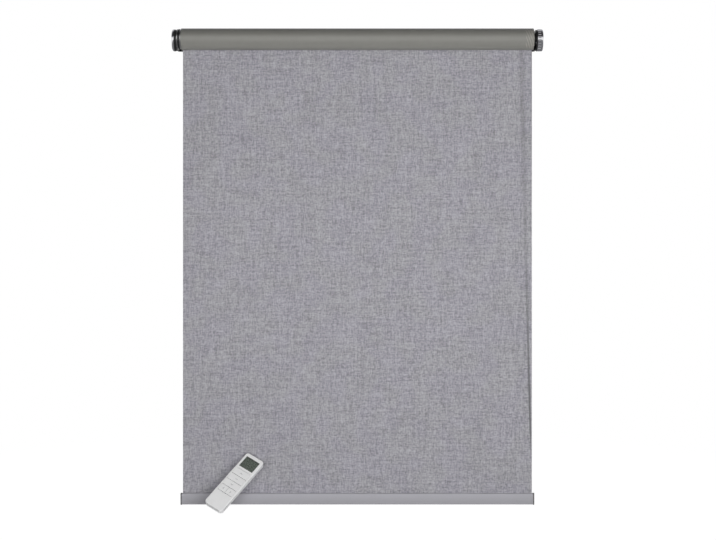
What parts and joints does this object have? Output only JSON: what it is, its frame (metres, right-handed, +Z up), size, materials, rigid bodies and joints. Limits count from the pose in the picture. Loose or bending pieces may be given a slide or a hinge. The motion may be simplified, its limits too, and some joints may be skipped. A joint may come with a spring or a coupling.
{
  "type": "motorized roller blind",
  "caption": "Battery roller blind with a keyed tube, wound and hanging fabric, round chrome end covers, wall brackets, bottom bar and a hand-held remote control.",
  "frame": {"origin": "on the wall plane, at the centre of the four wall screws, level with the roll's axis", "axes": "+X along the roll to the motor end, +Y towards the wall, +Z up"},
  "size_m": [0.7999, 0.129, 1.0339],
  "materials": {
    "chrome_shell": "bright chrome plating, smooth",
    "black_steel": "black powder coat, fine texture",
    "black_plastic": "moulded, fine matt",
    "bright_ring": "turned aluminium",
    "tube_metal": "extruded, satin anodised",
    "fabric_reverse": "smooth coated reverse, taupe grey",
    "fabric_face": "melange linen-look weave, grey with fine slubs",
    "clear_strip": "extruded plastic",
    "bar_paint": "satin grey powder coat",
    "grey_plastic": "moulded, matt grey",
    "bright_steel": "zinc plated",
    "spring_steel": "drawn wire",
    "can_steel": "drawn tube",
    "board_green": "solder resist",
    "chip_black": "moulded",
    "cell_wrap": "shrink film",
    "white_plastic": "moulded, natural white",
    "motor_steel": "rolled steel can",
    "gear_steel": "hobbed steel",
    "gear_plastic": "natural acetal",
    "bush_brass": "sintered",
    "flange_zinc": "die cast",
    "wheel_plastic": "glass-filled, light grey",
    "lens_clear": "clear moulded",
    "button_grey": "matt",
    "case_white": "fine matt",
    "key_white": "fine matt",
    "window_clear": "polished",
    "lcd_green": "polished display",
    "cell_steel": "polished"
  },
  "bodies": {
    "frame": {"bracket_left": "black_steel", "bracket_right": "black_steel", "seat_left": "black_plastic", "motor_socket": "black_plastic", "idler_collar": "bright_ring", "rivets": "bright_steel", "motor_head": "black_plastic", "port_shell": "bright_steel", "head_clip": "spring_steel", "status_lens": "lens_clear", "motor_can": "can_steel", "control_board": "board_green", "battery_cells": "cell_wrap", "battery_cradle": "white_plastic", "dc_motor": "motor_steel", "motor_plate": "bright_steel", "unit_screws": "bright_steel", "ring_gear": "gear_plastic", "gearbox_flange": "flange_zinc", "output_bush": "bush_brass", "fabric_drop": "fabric_face"},
    "roll": {"roller_tube": "tube_metal", "fabric_strip": "clear_strip", "fabric_roll": "fabric_reverse", "idle_plug": "black_plastic", "plug_cap": "black_plastic", "pin_spring": "spring_steel", "crown_ring": "black_plastic", "drive_wheel": "wheel_plastic", "shaft_clip": "spring_steel", "planet_carrier": "gear_steel", "planet_pins": "bright_steel", "carrier_plate": "bright_steel"},
    "pin": {"idler_pin": "bright_steel"},
    "sun": {"sun_gear": "gear_steel"},
    "planet_1": {"planet_gear_1": "gear_plastic"},
    "planet_2": {"planet_gear_2": "gear_plastic"},
    "planet_3": {"planet_gear_3": "gear_plastic"},
    "bar": {"bottom_bar": "bar_paint", "bar_strip": "clear_strip", "bar_cap_left": "grey_plastic", "bar_cap_right": "grey_plastic"},
    "left_cover": {"cover_left": "chrome_shell"},
    "right_cover": {"cover_right": "chrome_shell"},
    "button": {"set_button": "button_grey"},
    "remote": {"remote_front": "case_white", "remote_back": "case_white", "lcd_window": "window_clear", "lcd_panel": "lcd_green", "remote_board": "board_green", "key_switches": "chip_black", "board_screws": "bright_steel", "coin_cell": "cell_steel", "cell_contacts": "bright_steel"},
    "up_key": {"key_up": "key_white"},
    "stop_key": {"key_stop": "key_white"},
    "down_key": {"key_down": "key_white"},
    "left_key": {"key_left": "key_white"},
    "right_key": {"key_right": "key_white"},
    "door": {"battery_door": "case_white"}
  },
  "joints": [
    {"name": "roll_turn", "type": "hinge", "parent": "frame", "child": "roll", "pos_m": [0, -0.04, 0], "axis": [1, 0, 0], "range_deg": [0, 2221]},
    {"name": "bar_lift", "type": "slide", "parent": "frame", "child": "bar", "axis": [0, 0, 1], "range_m": [0, 0.94], "deforming": ["fabric_drop"]},
    {"name": "sun_spin", "type": "hinge", "parent": "frame", "child": "sun", "pos_m": [0.1, -0.04, 0], "axis": [1, 0, 0], "range_deg": [0, 11106]},
    {"name": "pin_slide", "type": "slide", "parent": "roll", "child": "pin", "axis": [1, 0, 0], "range_m": [0, 0.0086], "stiffness_N_per_m": 500, "springref_m": -0.004, "deforming": ["pin_spring"]},
    {"name": "left_cover_off", "type": "slide", "parent": "frame", "child": "left_cover", "axis": [-1, 0, 0], "range_m": [0, 0.02]},
    {"name": "right_cover_off", "type": "slide", "parent": "frame", "child": "right_cover", "axis": [1, 0, 0], "range_m": [0, 0.03]},
    {"name": "set_press", "type": "slide", "parent": "frame", "child": "button", "axis": [-1, 0, 0], "range_m": [0, 0.0006], "stiffness_N_per_m": 600, "springref_m": -0.0005},
    {"name": "remote_pick_up", "type": "slide", "parent": "frame", "child": "remote", "axis": [0, -1, 0], "range_m": [0, 0.15]},
    {"name": "door_turn", "type": "hinge", "parent": "remote", "child": "door", "pos_m": [-0.29335, -0.10257, -0.99183], "axis": [0, 0.749, -0.6626], "range_deg": [0, 45]},
    {"name": "planet_1_spin", "type": "hinge", "parent": "roll", "child": "planet_1", "pos_m": [0.1034, -0.03325, 0], "axis": [1, 0, 0], "range_deg": [-5923.7, 0]},
    {"name": "planet_2_spin", "type": "hinge", "parent": "roll", "child": "planet_2", "pos_m": [0.1034, -0.04337, 0.00585], "axis": [1, 0, 0], "range_deg": [-5923.7, 0]},
    {"name": "planet_3_spin", "type": "hinge", "parent": "roll", "child": "planet_3", "pos_m": [0.1034, -0.04337, -0.00585], "axis": [1, 0, 0], "range_deg": [-5923.7, 0]},
    {"name": "up_press", "type": "slide", "parent": "remote", "child": "up_key", "axis": [0, 0.749, -0.6626], "range_m": [0, 0.0006], "stiffness_N_per_m": 600, "springref_m": -0.0005},
    {"name": "stop_press", "type": "slide", "parent": "remote", "child": "stop_key", "axis": [0, 0.749, -0.6626], "range_m": [0, 0.0006], "stiffness_N_per_m": 600, "springref_m": -0.0005},
    {"name": "down_press", "type": "slide", "parent": "remote", "child": "down_key", "axis": [0, 0.749, -0.6626], "range_m": [0, 0.0006], "stiffness_N_per_m": 600, "springref_m": -0.0005},
    {"name": "left_press", "type": "slide", "parent": "remote", "child": "left_key", "axis": [0, 0.749, -0.6626], "range_m": [0, 0.0006], "stiffness_N_per_m": 600, "springref_m": -0.0005},
    {"name": "right_press", "type": "slide", "parent": "remote", "child": "right_key", "axis": [0, 0.749, -0.6626], "range_m": [0, 0.0006], "stiffness_N_per_m": 600, "springref_m": -0.0005}
  ],
  "couplings": [
    {"joint": "bar_lift", "follows": "roll_turn", "m_per_rad": 0.024248},
    {"joint": "sun_spin", "follows": "roll_turn", "ratio": 5},
    {"joint": "planet_1_spin", "follows": "roll_turn", "ratio": -2.6667},
    {"joint": "planet_2_spin", "follows": "roll_turn", "ratio": -2.6667},
    {"joint": "planet_3_spin", "follows": "roll_turn", "ratio": -2.6667}
  ]
}
